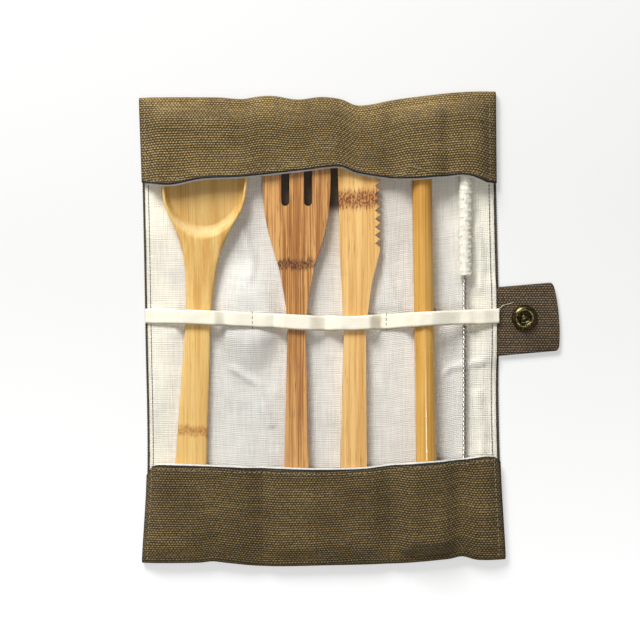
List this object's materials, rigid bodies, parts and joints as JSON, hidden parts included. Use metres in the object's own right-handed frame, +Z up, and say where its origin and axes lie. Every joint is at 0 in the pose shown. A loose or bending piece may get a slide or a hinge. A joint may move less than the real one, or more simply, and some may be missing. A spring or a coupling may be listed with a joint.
{
  "type": "bamboo cutlery roll",
  "caption": "Unrolled canvas cutlery pouch holding a bamboo spoon, fork, knife and straw and a straw cleaning brush, with a tape across them and a snap closing tab.",
  "frame": {"origin": "on the surface that the roll lies on, under the middle of the open roll", "axes": "+Z up out of the open roll, +Y towards the folded flap, +X towards the closing tab"},
  "size_m": [0.2011, 0.2268, 0.0138],
  "materials": {
    "canvas": "coarse olive brown canvas weave",
    "lining": "fine pale linen weave",
    "tape": "cream cotton tape",
    "tab_canvas": "coarse olive brown canvas weave",
    "antique_brass": "dark antique brass, worn bright on its edges",
    "spring_steel": "dark spring wire",
    "spoon_bamboo": "pale golden bamboo, sanded and oiled",
    "fork_bamboo": "caramel bamboo with dark streaks",
    "knife_bamboo": "golden bamboo with a dark node band",
    "straw_bamboo": "glossy natural bamboo skin",
    "brush_steel": "twisted stainless wire",
    "bristle": "cream nylon bristles"
  },
  "bodies": {
    "root": {"canvas_cover": "canvas", "lining": "lining", "holding_tape": "tape", "closing_tab": "tab_canvas", "snap_cap": "antique_brass", "snap_socket": "antique_brass", "snap_spring": "spring_steel", "snap_stud": "antique_brass", "stud_post": "antique_brass", "spoon": "spoon_bamboo", "fork": "fork_bamboo", "knife": "knife_bamboo", "straw": "straw_bamboo", "brush_wire": "brush_steel", "brush_bristles": "bristle"}
  },
  "joints": []
}
